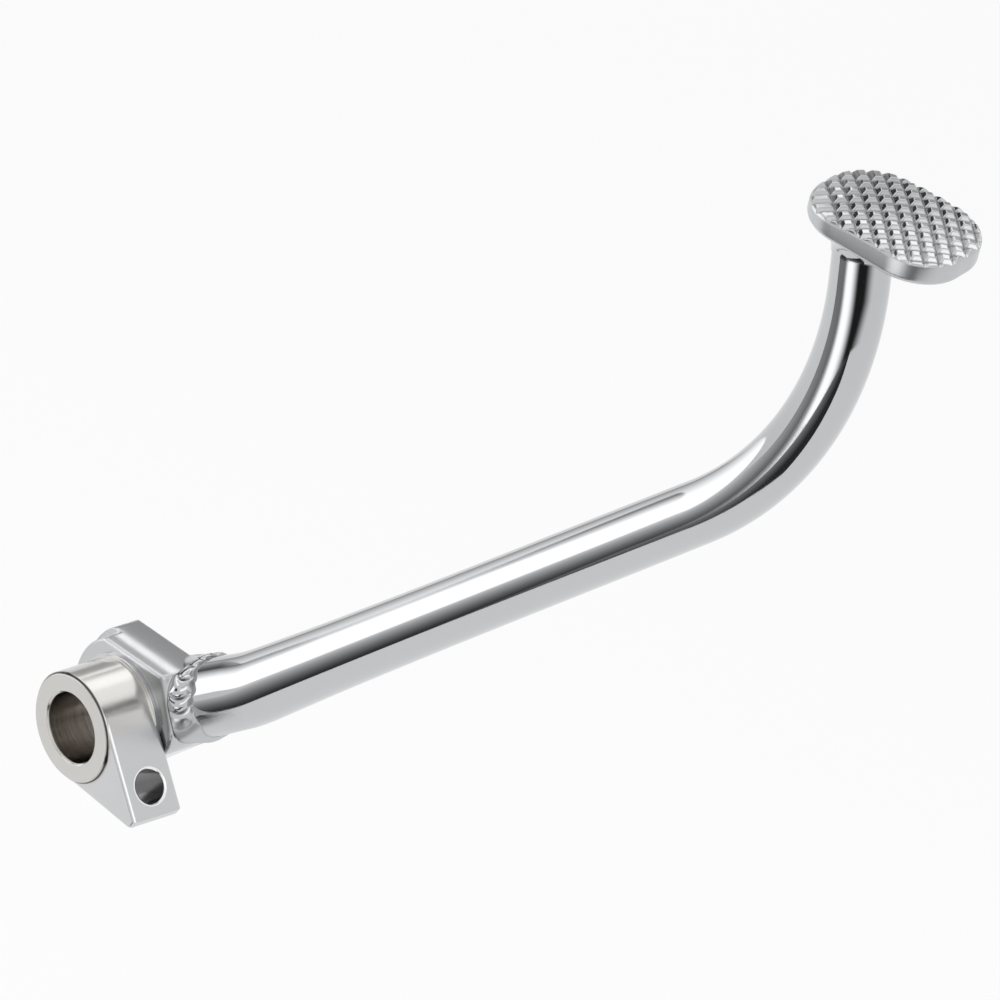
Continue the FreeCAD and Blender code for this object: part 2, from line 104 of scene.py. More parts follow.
# The pad, in millimetres and degrees
PAD_LENGTH = 40.0
PAD_WIDTH = 29.0
PAD_CORNER = 12.5
PAD_HEIGHT = 7.7
PAD_CROWN = 110.0
PAD_CREST = 5.0
PAD_FORWARD = 7.1
PAD_TILT = 8.7
PAD_LIP = 1.1
PAD_LIP_DROP = 1.5
PAD_LIP_STEPS = 14
PAD_LOWER_EDGE = 1.8
PAD_LOWER_STEPS = 8
TREAD_PITCH = 3.53
TREAD_DEPTH = 1.1
TREAD_HALF_GROOVE = 1.0
TREAD_GROOVES_EACH_SIDE = 5
# Painted shade in the grooves: how dark, and between which shares of the tread's depth
TREAD_PAINTED_SHADE = 0.7
TREAD_PAINTED_SHADE_DEPTHS = (0.6, 1.05)

# How far the tread's corners are eased: at a groove's bottom, at its rim, where two cross, and at the lip
GROOVE_BOTTOM_EASE = 0.09
GROOVE_RIM_EASE = 0.05
CROSSING_EASE = 0.04
LIP_EASE = 0.12
GROOVE_EXTRA = 1.06

# The tread's mesh: lines beside each groove's bottom, the pitches it covers, and how it meets the lip
TREAD_LINES = (0.0, 0.14, 0.3, 0.5, 0.7, 0.85, 0.97, 1.08, 1.2, 1.4)
TREAD_PITCHES_EACH_SIDE = 9
LIP_OVERLAP = 1.0
LIP_SNAP = 0.06


def tilted(across, angle):
    """A direction raised from a level one by an angle in degrees."""
    return across * math.cos(math.radians(angle)) + UP * math.sin(math.radians(angle))


FACE_OUT = tilted(Vector((1, 0, 0)), FACE_TILT)
FACE_UP = tilted(Vector((1, 0, 0)), FACE_TILT + 90)
ARM_AHEAD = Vector((math.cos(math.radians(ARM_YAW)), math.sin(math.radians(ARM_YAW)), 0))
ARM_ASIDE = UP.cross(ARM_AHEAD)
ARM_BASE = Vector(((FACE_REACH - FACE_OUT.z * ARM_HEIGHT) / FACE_OUT.x, ARM_SIDE, ARM_HEIGHT))
LEAVE = tilted(ARM_AHEAD, LEAVE_ANGLE)
LEAVE_UP = tilted(ARM_AHEAD, LEAVE_ANGLE + 90)
RISE = tilted(ARM_AHEAD, RISE_ANGLE)
FIRST_CORNER = ARM_BASE + LEAVE * LEAVE_LENGTH
SECOND_CORNER = FIRST_CORNER + RISE * RISE_LENGTH
ARM_END = SECOND_CORNER + UP * POST_LENGTH
PAD_ALONG = tilted(ARM_AHEAD, -PAD_TILT)
PAD_UP = tilted(ARM_AHEAD, 90 - PAD_TILT)
PAD_ORIGIN = ARM_END + PAD_ALONG * (PAD_FORWARD + PAD_CREST)

# How far each bend reaches along the straights on both sides of its corner
FIRST_CUT = FIRST_BEND * math.tan(math.radians(RISE_ANGLE - LEAVE_ANGLE) / 2)
SECOND_CUT = SECOND_BEND * math.tan(math.radians(90 - RISE_ANGLE) / 2)


class Shader:
    """A new material, and short ways to add nodes to it."""

    def __init__(self, name):
        self.material = bpy.data.materials.new(name)
        self.material.use_nodes = True
        self.tree = self.material.node_tree
        self.surface = self.tree.nodes["Principled BSDF"]

    def add(self, kind, inputs=(), **settings):
        """Adds a node, with its settings and its inputs by name or number."""
        node = self.tree.nodes.new(kind)
        for key, value in settings.items():
            setattr(node, key, value)
        for key, value in dict(inputs).items():
            self.feed(node.inputs[key], value)
        return node

    def feed(self, socket, value):
        """Links another node's output to a socket, or sets a constant on it."""
        if isinstance(value, bpy.types.NodeSocket):
            self.tree.links.new(value, socket)
        else:
            socket.default_value = value

    def dress_surface(self, **inputs):
        """Feeds the surface's sockets, whose names are written with _ for a space."""
        for key, value in inputs.items():
            self.feed(self.surface.inputs[key.replace("_", " ")], value)

    def math(self, operation, *values):
        return self.add("ShaderNodeMath", enumerate(values), operation=operation).outputs[0]

    def vector_math(self, operation, *vectors):
        return self.add("ShaderNodeVectorMath", enumerate(vectors), operation=operation).outputs

    def minus(self, vector, offset):
        return self.vector_math("SUBTRACT", vector, tuple(offset))[0]

    def dot(self, vector, way):
        return self.vector_math("DOT_PRODUCT", vector, tuple(way))["Value"]

    def length(self, vector):
        return self.vector_math("LENGTH", vector)["Value"]

    def stretch(self, vector, scale):
        return self.vector_math("MULTIPLY", vector, scale)[0]

    def place_in_metres(self):
        return self.add("ShaderNodeTexCoord").outputs["Object"]

    def place(self):
        """The place in the part's own frame, in millimetres."""
        scaling = {0: self.place_in_metres(), "Scale": 1 / MM}
        return self.add("ShaderNodeVectorMath", scaling, operation="SCALE").outputs[0]

    def split(self, vector):
        return self.add("ShaderNodeSeparateXYZ", {0: vector}).outputs

    def noise(self, vector, scale, detail=2.0):
        inputs = {"Vector": vector, "Scale": scale, "Detail": detail}
        return self.add("ShaderNodeTexNoise", inputs).outputs["Fac"]

    def attribute(self, name):
        return self.add("ShaderNodeAttribute", attribute_name=name).outputs["Fac"]

    def remap(self, value, low, high, to_low=0.0, to_high=1.0, smooth=False):
        """Runs from one value to another while the input runs from low to high, and stays there."""
        inputs = {0: value, 1: low, 2: high, 3: to_low, 4: to_high}
        kind = "SMOOTHSTEP" if smooth else "LINEAR"
        return self.add("ShaderNodeMapRange", inputs, interpolation_type=kind).outputs[0]

    def blend(self, factor, first, second):
        return self.add("ShaderNodeMix", {0: factor, 2: first, 3: second}).outputs[0]

    def blend_colour(self, factor, first, second):
        return self.add("ShaderNodeMix", {0: factor, 6: first, 7: second}, data_type="RGBA").outputs[2]

    def bump(self, height, depth, strength=1.0, normal=None):
        """Adds a relief of this depth, in millimetres."""
        inputs = {"Height": height, "Distance": depth * MM, "Strength": strength}
        if normal:
            inputs["Normal"] = normal
        return self.add("ShaderNodeBump", inputs).outputs[0]

    def soft_edges(self, radius):
        """The surface's direction with sharp edges eased over a radius in millimetres."""
        return self.add("ShaderNodeBevel", {"Radius": radius * MM}, samples=6).outputs[0]

    def metal(self, colour, roughness, normal):
        self.dress_surface(Base_Color=colour, Roughness=roughness, Normal=normal, Metallic=1.0)
        return self.material


CHROME = (0.53, 0.537, 0.547, 1)
NICKEL = (0.60, 0.592, 0.572, 1)
SATIN = (0.60, 0.605, 0.612, 1)
BORE_STEEL = (0.32, 0.295, 0.27, 1)
BORE_STREAK = (0.52, 0.49, 0.46, 1)
# Painted shade inside the cross hole
HOLE_PAINTED_SHADE = (0.14, 0.14, 0.14, 1)
# A painted highlight on the cross hole's chamfer
CHAMFER_PAINTED_HIGHLIGHT = (0.90, 0.90, 0.91, 1)
# Painted shade on the block's front face
BLOCK_FACE_PAINTED_SHADE = (0.12, 0.12, 0.12, 1)
# A dark tone painted for shade in the welds' creases and the tread's grooves, and for a dark reflection on
# the ring's rim
PAINTED_DARK_TONE = (0.07, 0.07, 0.075, 1)

# The roughness of each finish, from its smoothest to its roughest places
BAR_POLISH = (0.03, 0.08)
PAD_POLISH = (0.06, 0.12)
BLOCK_POLISH = (0.1, 0.17)
BOSS_FINISH = (0.16, 0.24)
WELD_POLISH = (0.05, 0.13)
HEATED_ROUGHNESS = 0.3
PAD_WALL_ROUGHNESS = 0.3
LOW_WELD_ROUGHNESS = 0.42
WEAR_DRIFT_SHARE = 0.6
WEAR_GRAIN_SHARE = 0.4
WEAR_SPREAD = (0.3, 0.7)

# How close marks lie along x, y and z, or along the radius and y, and their depth beside the bore's
BRUSH_LINES = (0.04, 3.0, 3.0)
FINE_RINGS = (6.0, 6.0, 1.0)
BORE_RINGS = (0.4, 2.2, 1.0)
FORGED_SHARE = 0.04
TURNED_SHARE = 0.1
STREAK_TONES = (0.35, 0.65, 0.0, 0.7)

# Places that the materials follow, in millimetres. A pair says where a finish starts and where it is full.
BLOCK_MIDDLE = 6.45
BLOCK_CROWN = 0.014
BLOCK_FRONT = (0.5, 0.1)
BLOCK_SHADE = (7.0, 15.0)
BLOCK_SHADE_MOST = 0.75
HEATED_ALONG = (20.0, 12.0)
HEATED_BELOW = (-1.0, -3.0)
LOW_WELD = (9.0, 4.0)
PAD_WALL = (5.9, 5.2)
BORE_WALL = (8.7, 8.55)
TURNED_PART = (14.4, 13.7)
RING_RIM = (12.95, 13.1)
RING_FACE = (-14.35, -14.45)
ROD_HOLE = (20.853, -7.15, -7.324)
ROD_AXIS = (0.83867, 0.0, 0.54464)
HOLE_WALL = (4.12, 4.04)
HOLE_CHAMFER = (4.75, 4.6)
LUG_FRONT = (8.0, 12.0)


def wear(shader, place, fine_scale, roughness):
    """Roughness that drifts over the surface, with a fine grain of handling marks."""
    drift = shader.math("MULTIPLY", shader.noise(place, scale=0.06), WEAR_DRIFT_SHARE)
    grain = shader.math("MULTIPLY", shader.noise(place, fine_scale, detail=4.0), WEAR_GRAIN_SHARE)
    return shader.remap(shader.math("ADD", drift, grain), *WEAR_SPREAD, *roughness)


def polished_chrome():
    """The bar: mirror bright, and dulled by heat under the weld."""
    shader = Shader("polished_chrome")
    place = shader.place()
    waves = shader.noise(place, scale=0.03)
    scratches = shader.noise(place, scale=0.8, detail=6.0)
    normal = shader.bump(waves, depth=0.03, strength=0.1)
    normal = shader.bump(scratches, depth=0.0006, strength=0.4, normal=normal)
    from_weld = shader.minus(place, ARM_BASE)
    near_weld = shader.remap(shader.dot(from_weld, LEAVE), *HEATED_ALONG)
    underneath = shader.remap(shader.dot(from_weld, LEAVE_UP), *HEATED_BELOW)
    heated = shader.math("MULTIPLY", near_weld, underneath)
    polish = wear(shader, place, fine_scale=1.4, roughness=BAR_POLISH)
    roughness = shader.blend(heated, polish, HEATED_ROUGHNESS)
    return shader.metal(CHROME, roughness, normal)


def treaded_chrome():
    """The pad: polished on top, satin round its wall, with painted shade in the tread's grooves."""
    shader = Shader("treaded_chrome")
    place = shader.place()
    underside = PAD_ORIGIN.dot(PAD_UP)
    wall = shader.remap(shader.dot(place, PAD_UP), underside + PAD_WALL[0], underside + PAD_WALL[1])
    # Painted shade at the bottoms of the tread's grooves
    colour = shader.blend_colour(shader.attribute("painted_shade"), CHROME, PAINTED_DARK_TONE)
    scratches = shader.noise(place, scale=0.8, detail=6.0)
    normal = shader.bump(scratches, depth=0.001, strength=0.4)
    polish = wear(shader, place, fine_scale=1.4, roughness=PAD_POLISH)
    roughness = shader.blend(wall, polish, PAD_WALL_ROUGHNESS)
    return shader.metal(colour, roughness, normal)


def brushed_chrome():
    """The block: drawn along its length before plating, with softened edges, a slight crown across, and
    painted shade on its front face.
    """
    shader = Shader("brushed_chrome")
    place = shader.place()
    x, y = shader.split(place)[:2]
    across = shader.math("SUBTRACT", y, BLOCK_MIDDLE)
    crown = shader.math("MULTIPLY", across, across)
    lines = shader.noise(shader.stretch(place, BRUSH_LINES), scale=1.0, detail=5.0)
    normal = shader.bump(crown, depth=-BLOCK_CROWN, normal=shader.soft_edges(radius=0.9))
    normal = shader.bump(lines, depth=0.004, strength=0.5, normal=normal)
    # Painted shade on the block's front face, growing darker along x
    shade = shader.remap(x, *BLOCK_SHADE, 0.0, BLOCK_SHADE_MOST)
    painted_face_shade = shader.math("MULTIPLY", shader.remap(y, *BLOCK_FRONT), shade)
    colour = shader.blend_colour(painted_face_shade, CHROME, BLOCK_FACE_PAINTED_SHADE)
    return shader.metal(colour, wear(shader, place, fine_scale=1.2, roughness=BLOCK_POLISH), normal)


def turned_nickel():
    """The boss: a turned ring and sleeve, a bored hole and a forged lug, with painted shade in the cross
    hole, a painted highlight on its chamfer and a painted dark reflection on the ring's rim.
    """
    shader = Shader("turned_nickel")
    place = shader.place()
    x, y, z = shader.split(place)
    square_sum = shader.math("ADD", shader.math("MULTIPLY", x, x), shader.math("MULTIPLY", z, z))
    radius = shader.math("SQRT", square_sum)
    in_bore = shader.remap(radius, *BORE_WALL)
    turned = shader.remap(radius, *TURNED_PART)
    # A painted dark reflection on the ring's rim
    painted_dark_rim = shader.math("MULTIPLY", shader.remap(radius, *RING_RIM), shader.remap(y, *RING_FACE))
    off_axis = shader.vector_math("CROSS_PRODUCT", shader.minus(place, ROD_HOLE), ROD_AXIS)[0]
    hole_radius = shader.length(off_axis)
    # Painted shade inside the cross hole
    in_hole = shader.remap(hole_radius, *HOLE_WALL)
    # A painted highlight on the cross hole's chamfer, on the lug's front
    at_chamfer = shader.remap(hole_radius, *HOLE_CHAMFER)
    painted_chamfer_highlight = shader.math("MULTIPLY", at_chamfer, shader.remap(x, *LUG_FRONT))

    ring_place = shader.add("ShaderNodeCombineXYZ", {0: radius, 1: y}).outputs[0]
    rings = shader.noise(shader.stretch(ring_place, FINE_RINGS), scale=1.0, detail=3.0)
    deep_rings = shader.noise(shader.stretch(ring_place, BORE_RINGS), scale=1.0, detail=3.0)
    grain = shader.noise(place, scale=1.5, detail=4.0)
    forged_relief = shader.math("MULTIPLY", grain, FORGED_SHARE)
    turned_relief = shader.math("MULTIPLY", rings, TURNED_SHARE)
    relief = shader.blend(turned, forged_relief, turned_relief)
    relief = shader.blend(in_bore, relief, deep_rings)
    normal = shader.bump(relief, depth=0.05, strength=0.7, normal=shader.soft_edges(radius=0.25))

    streaks = shader.math("MULTIPLY", shader.remap(deep_rings, *STREAK_TONES), in_bore)
    colour = shader.blend_colour(turned, SATIN, NICKEL)
    colour = shader.blend_colour(in_bore, colour, BORE_STEEL)
    colour = shader.blend_colour(streaks, colour, BORE_STREAK)
    colour = shader.blend_colour(painted_dark_rim, colour, PAINTED_DARK_TONE)
    colour = shader.blend_colour(painted_chamfer_highlight, colour, CHAMFER_PAINTED_HIGHLIGHT)
    colour = shader.blend_colour(in_hole, colour, HOLE_PAINTED_SHADE)
    return shader.metal(colour, wear(shader, place, fine_scale=1.5, roughness=BOSS_FINISH), normal)


def weld_metal():
    """The welds: bright, with painted shade in their creases, and rougher low down."""
    shader = Shader("weld_metal")
    place = shader.place()
    lumps = shader.noise(place, scale=0.9, detail=4.0)
    normal = shader.bump(lumps, depth=0.05, strength=0.3)
    # Painted shade in the weld's creases and along its toes
    colour = shader.blend_colour(shader.attribute("painted_shade"), CHROME, PAINTED_DARK_TONE)
    low = shader.remap(shader.split(place)[2], *LOW_WELD)
    polish = wear(shader, place, fine_scale=1.0, roughness=WELD_POLISH)
    roughness = shader.blend(low, polish, LOW_WELD_ROUGHNESS)
    return shader.metal(colour, roughness, normal)


def dress(node, material):
    """Gives a node's own mesh its material."""
    mesh = nodes[node].data
    mesh.materials.clear()
    mesh.materials.append(material)


def add_mesh(name, points, faces, material):
    mesh = bpy.data.meshes.new(name)
    mesh.from_pydata(points, [], faces)
    mesh.materials.append(material)
    piece = bpy.data.objects.new(name, mesh)
    scene.collection.objects.link(piece)
    return piece


def add_piece(node, points, faces, material, painted_shade=None):
    """Adds a smooth piece of the part, in millimetres, in place of a node, with painted shade in its
    hollows.
    """
    piece = add_mesh("visual_" + node, [point * MM for point in points], faces, material)
    piece.data.polygons.foreach_set("use_smooth", [True] * len(faces))
    if painted_shade:
        piece.data.attributes.new("painted_shade", "FLOAT", "POINT").data.foreach_set("value", painted_shade)
    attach(piece, "root")
    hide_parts(node)


def smooth_step(low, high, value):
    t = min(max((value - low) / (high - low), 0.0), 1.0)
    return t * t * (3 - 2 * t)


def ring_faces(rings, count):
    """Quads between rings of equal count, with the last ring left open."""
    faces = []
    for ring in range(rings - 1):
        for step in range(count):
            after = (step + 1) % count
            low, high = ring * count, (ring + 1) * count
            faces.append((low + step, low + after, high + after, high + step))
    return faces


def arm_stations():
    """Points along the arm's line, each with the angle at which the line rises there."""
    stations = []

    def straight(start, heading, angle, length, steps):
        for step in range(steps):
            stations.append((start + heading * (length * step / steps), angle))

    def bend(start, angle, turn, radius, steps):
        middle = start + tilted(ARM_AHEAD, angle + 90) * radius
        for step in range(steps):
            now = angle + turn * step / steps
            stations.append((middle - tilted(ARM_AHEAD, now + 90) * radius, now))

    first_turn = RISE_ANGLE - LEAVE_ANGLE
    second_turn = 90 - RISE_ANGLE
    run_length = RISE_LENGTH - FIRST_CUT - SECOND_CUT
    straight(ARM_BASE - LEAVE * OVERRUN, LEAVE, LEAVE_ANGLE, OVERRUN + LEAVE_LENGTH - FIRST_CUT, ROOT_STEPS)
    bend(FIRST_CORNER - LEAVE * FIRST_CUT, LEAVE_ANGLE, first_turn, FIRST_BEND, FIRST_BEND_STEPS)
    straight(FIRST_CORNER + RISE * FIRST_CUT, RISE, RISE_ANGLE, run_length, RUN_STEPS)
    bend(SECOND_CORNER - RISE * SECOND_CUT, RISE_ANGLE, second_turn, SECOND_BEND, SECOND_BEND_STEPS)
    straight(SECOND_CORNER + UP * SECOND_CUT, UP, 90, POST_LENGTH - SECOND_CUT, POST_STEPS)
    stations.append((ARM_END, 90))
    return stations


def arm_radius(point):
    """The bar's taper: stout at the weld, slimmer along the run, slimmest at the post."""
    marks = [ARM_BASE - LEAVE * OVERRUN, FIRST_CORNER + RISE * NECK_LENGTH,
             SECOND_CORNER - RISE * SECOND_CUT, SECOND_CORNER + UP * SECOND_CUT]
    places = [mark.dot(RISE) for mark in marks]
    radii = [ROOT_DIA / 2, RUN_DIA / 2, BEND_DIA / 2, POST_DIA / 2]
    slopes = [(after - before) / (far - near)
              for before, after, near, far in zip(radii, radii[1:], places, places[1:])]
    tangents = [slopes[0], (slopes[0] + slopes[1]) / 2, (slopes[1] + slopes[2]) / 2, 0.0]
    here = min(max(point.dot(RISE), places[0]), places[-1])
    part = max(index for index in range(3) if index == 0 or here >= places[index])
    span = places[part + 1] - places[part]
    t = (here - places[part]) / span
    return (radii[part] * (2 * t ** 3 - 3 * t ** 2 + 1) + tangents[part] * span * (t ** 3 - 2 * t ** 2 + t)
            + radii[part + 1] * (3 * t ** 2 - 2 * t ** 3) + tangents[part + 1] * span * (t ** 3 - t ** 2))


def slide_to_plane(point, heading, origin, normal):
    return point + heading * ((origin - point).dot(normal) / heading.dot(normal))


def build_arm(material):
    """The bent bar, cut at the weld face and at the underside of the pad."""
    turns = [2 * math.pi * step / ARM_AROUND for step in range(ARM_AROUND)]
    rings = []
    for place, angle in arm_stations():
        heading = tilted(ARM_AHEAD, angle)
        out = tilted(ARM_AHEAD, angle + 90)
        radius = arm_radius(place)
        ring = []
        for turn in turns:
            point = place + (ARM_ASIDE * math.cos(turn) + out * math.sin(turn)) * radius
            if (point - ARM_BASE).dot(FACE_OUT) < 0:
                point = slide_to_plane(point, heading, ARM_BASE, FACE_OUT)
            elif (point - ARM_END).dot(PAD_UP) > 0:
                point = slide_to_plane(point, heading, ARM_END, PAD_UP)
            ring.append(point)
        rings.append(ring)
    rings[-1] = [slide_to_plane(point, UP, ARM_END, PAD_UP) for point in rings[-1]]
    first_free = next(index for index, ring in enumerate(rings)
                      if max((point - ARM_BASE).dot(FACE_OUT) for point in ring) > CLEAR_OF_FACE)
    rings = rings[max(first_free - 1, 0):]
    points = [point for ring in rings for point in ring]
    faces = ring_faces(len(rings), ARM_AROUND)
    faces.append(tuple(reversed(range(ARM_AROUND))))
    faces.append(tuple(range(len(points) - ARM_AROUND, len(points))))
    add_piece("pedal_arm", points, faces, material)


def build_arm_weld(material):
    """A closed bead in the corner between the weld face and the bar."""
    root_radius = arm_radius(ARM_BASE)
    points, painted_shade = [], []
    for step in range(WELD_AROUND):
        turn = 2 * math.pi * step / WELD_AROUND
        outward = Vector((0, -1, 0)) * math.cos(turn) + FACE_UP * math.sin(turn)
        reach = root_radius / math.sqrt(1 - outward.dot(LEAVE) ** 2)

        # The bead is drawn out low down, and kept short where the face ends above, below and behind
        height = math.sin(turn)
        lowness = smooth_step(*WELD_LOW, height)
        overhang = max(smooth_step(*WELD_ENDS, abs(height)), smooth_step(*WELD_BACK, math.cos(turn)))
        wander = 0.2 * math.sin(3 * turn + 0.6) + 0.12 * math.sin(7 * turn)
        side = WELD_SIDE_EXTRA * lowness + wander
        face_leg = (WELD_FACE_LEG + side) * (1 - overhang) + WELD_END_LEG * overhang
        arm_leg = (WELD_ARM_LEG + side) * (1 - WELD_END_SHORTENING * overhang)
        fullness = 1.0 - WELD_LOW_HOLLOW * lowness
        smoothed = (1 - WELD_LOW_SMOOTHING * lowness) * (1 - WELD_END_SMOOTHING * overhang)
        depth = WELD_RIPPLE_DEPTH * smoothed
        ripple_place = turn * WELD_RIPPLES / (2 * math.pi)

        for slice_step in range(WELD_PROFILE_STEPS + 1):
            t = slice_step / WELD_PROFILE_STEPS
            arch = math.sin(math.pi * t)
            phase = (ripple_place + WELD_RIPPLE_LEAN * arch + WELD_RIPPLE_DRIFT * math.sin(5 * turn)) % 1.0
            ripple = math.sqrt(max(1 - (2 * phase - 1) ** 2, 0.0)) - WELD_RIPPLE_MIDDLE
            swell = depth * ripple * arch * WELD_RIPPLE_SHARE
            bulge = 2 * t * (1 - t) * fullness
            from_bar = face_leg * ((1 - t) ** 2 + bulge) + swell
            from_face = arm_leg * (t ** 2 + bulge) + swell
            points.append(ARM_BASE + outward * (reach + from_bar) + LEAVE * from_face)
            # Painted shade in the ripples' creases and along the bead's toes
            crease = smooth_step(*WELD_CREASE, ripple) * (1 - lowness) * arch
            toe = smooth_step(*WELD_TOE, min(t, 1 - t))
            painted_shade.append(max(crease, WELD_TOE_PAINTED_SHADE * toe))
        points.append(ARM_BASE + outward * (reach - WELD_SINK) + LEAVE * arm_leg)
        points.append(ARM_BASE + outward * (reach - WELD_SINK))
        painted_shade.extend((0.0, 0.0))

    count = WELD_PROFILE_STEPS + 3
    faces = []
    for step in range(WELD_AROUND):
        here, after = step * count, (step + 1) % WELD_AROUND * count
        for index in range(count):
            beside = (index + 1) % count
            faces.append((here + index, here + beside, after + beside, after + index))
    add_piece("arm_weld", points, faces, material, painted_shade)


def rounded(value, softness):
    """A distance from a line, with its corner at the line softened."""
    return math.sqrt(value * value + softness * softness)


def softer_max(first, second, softness):
    return (first + second + rounded(first - second, softness)) / 2


def pad_edge(x, y):
    """How far a place lies inside the pad's outline, and the way out to it."""
    from_side = Vector((abs(x + PAD_CREST) - (PAD_LENGTH / 2 - PAD_CORNER),
                        abs(y) - (PAD_WIDTH / 2 - PAD_CORNER)))
    signs = Vector((math.copysign(1, x + PAD_CREST), math.copysign(1, y)))
    if from_side.x > 0 and from_side.y > 0:
        way = from_side.normalized()
        inside = PAD_CORNER - from_side.length
    elif from_side.x - from_side.y > 0:
        way = Vector((1, 0))
        inside = PAD_CORNER - from_side.x
    else:
        way = Vector((0, 1))
        inside = PAD_CORNER - from_side.y
    return inside, Vector((way.x * signs.x, way.y * signs.y))


def groove(place):
    """The depth of the nearest groove of one set, at a distance across the set."""
    number = min(max(round(place / TREAD_PITCH), -TREAD_GROOVES_EACH_SIDE), TREAD_GROOVES_EACH_SIDE)
    away = rounded(place - number * TREAD_PITCH, GROOVE_BOTTOM_EASE)
    return TREAD_DEPTH * softer_max(GROOVE_EXTRA - away / TREAD_HALF_GROOVE, 0.0, GROOVE_RIM_EASE)


def pad_crown(x, y):
    return PAD_HEIGHT - PAD_CROWN + math.sqrt(PAD_CROWN ** 2 - x * x - y * y)


def pad_top(x, y, lip_drop=0.0):
    """The height of the tread, where the grooves run out through the rolled lip."""
    tread = softer_max(groove((x + y) / math.sqrt(2)), groove((x - y) / math.sqrt(2)), CROSSING_EASE)
    return pad_crown(x, y) - softer_max(tread, lip_drop, LIP_EASE)


def tread_painted_shade(point):
    """Painted shade at the bottoms of the grooves, by how deep a point lies in the tread."""
    depth = (pad_crown(point.x, point.y) - point.z) / TREAD_DEPTH
    return TREAD_PAINTED_SHADE * smooth_step(*TREAD_PAINTED_SHADE_DEPTHS, depth)


def tread_mesh():
    """The tread's points and faces, on a grid that follows the grooves out to the lip."""
    mirrored = [TREAD_PITCH - offset for offset in reversed(TREAD_LINES[1:])]
    within = [*TREAD_LINES, TREAD_PITCH / 2, *mirrored]
    pitches = range(-TREAD_PITCHES_EACH_SIDE, TREAD_PITCHES_EACH_SIDE)
    lines = [number * TREAD_PITCH + offset for number in pitches for offset in within]

    flat, depths = {}, {}
    for row, p in enumerate(lines):
        for column, q in enumerate(lines):
            x, y = (p + q) / math.sqrt(2), (p - q) / math.sqrt(2)
            inside, way = pad_edge(x, y)
            if inside < PAD_LIP - LIP_OVERLAP:
                continue
            if inside < PAD_LIP + LIP_SNAP:
                x, y = x + way.x * (inside - PAD_LIP), y + way.y * (inside - PAD_LIP)
                inside = PAD_LIP
            flat[row, column] = (x, y)
            depths[row, column] = inside

    numbers, points, faces = {}, [], []

    def number_of(key):
        if key not in numbers:
            x, y = flat[key]
            numbers[key] = len(points)
            points.append(Vector((x, y, pad_top(x, y))))
        return numbers[key]

    for row in range(len(lines) - 1):
        for column in range(len(lines) - 1):
            corners = [(row, column), (row, column + 1), (row + 1, column + 1), (row + 1, column)]
            if not all(corner in flat for corner in corners):
                continue
            if any(depths[corner] > PAD_LIP for corner in corners):
                faces.append(tuple(number_of(corner) for corner in corners))
    return points, faces


def open_rim(faces):
    """The points round the open edge of a mesh, in order."""
    sides = {}
    for face in faces:
        for start, end in zip(face, face[1:] + face[:1]):
            sides[start, end] = True
    rim = {end: start for start, end in sides if (end, start) not in sides}
    loop = [next(iter(rim))]
    while rim[loop[-1]] != loop[0]:
        loop.append(rim[loop[-1]])
    return loop


def pad_levels():
    """Rings from the tread to the underside: how far out, how far the lip drops, and a height below it."""
    levels = []
    for step in range(1, PAD_LIP_STEPS + 1):
        angle = math.radians(90 * step / PAD_LIP_STEPS)
        levels.append((PAD_LIP * math.sin(angle), PAD_LIP_DROP * (1 - math.cos(angle)), None))
    for step in range(PAD_LOWER_STEPS + 1):
        angle = math.radians(90 * step / PAD_LOWER_STEPS)
        outward = PAD_LIP - PAD_LOWER_EDGE * (1 - math.cos(angle))
        levels.append((outward, 0.0, PAD_LOWER_EDGE * (1 - math.sin(angle))))
    return levels


def build_pad(material):
    """The crowned pad: its tread, the rolled lip, the wall, and a flat underside."""
    points, faces = tread_mesh()
    painted_shade = [tread_painted_shade(point) for point in points]
    previous = open_rim(faces)
    outline = [(points[index].x, points[index].y, pad_edge(points[index].x, points[index].y)[1])
               for index in previous]
    for outward, drop, height in pad_levels():
        start = len(points)
        for x, y, way in outline:
            x, y = x + way.x * outward, y + way.y * outward
            points.append(Vector((x, y, pad_top(x, y, drop) if height is None else height)))
        ring = list(range(start, len(points)))
        for index in range(len(ring)):
            after = (index + 1) % len(ring)
            faces.append((previous[index], previous[after], ring[after], ring[index]))
        previous = ring
    middle = len(points)
    points.append(Vector((-PAD_CREST, 0, 0)))
    for index in range(len(previous)):
        faces.append((previous[index], previous[(index + 1) % len(previous)], middle))

    placed = [PAD_ORIGIN + PAD_ALONG * point.x + ARM_ASIDE * point.y + PAD_UP * point.z for point in points]
    painted_shade += [0.0] * (len(points) - len(painted_shade))
    add_piece("foot_pad", placed, faces, material, painted_shade)


# The studio: a pale floor far below, a pale room, and panels and flags out of the frame
FLOOR_LEVEL = -600 * MM
FLOOR_REACH = 8.0
FLOOR_COLOUR = (0.985, 0.985, 0.985, 1)
FLOOR_ROUGHNESS = 0.9
ROOM_LIGHT = 0.93
BLACK = (0, 0, 0, 1)
WHITE = (1, 1, 1, 1)

# The cards stand round the middle of the arm, or lie a little above the floor
ARM_MIDDLE = Vector((80, 35, 75)) * MM
CARD_RADIUS = 3.0
OUTER_CARD_RADIUS = CARD_RADIUS * 1.05
CARD_STEPS = 24
CARD_LIFT = 2
UPPER_CARD_LIFT = 4

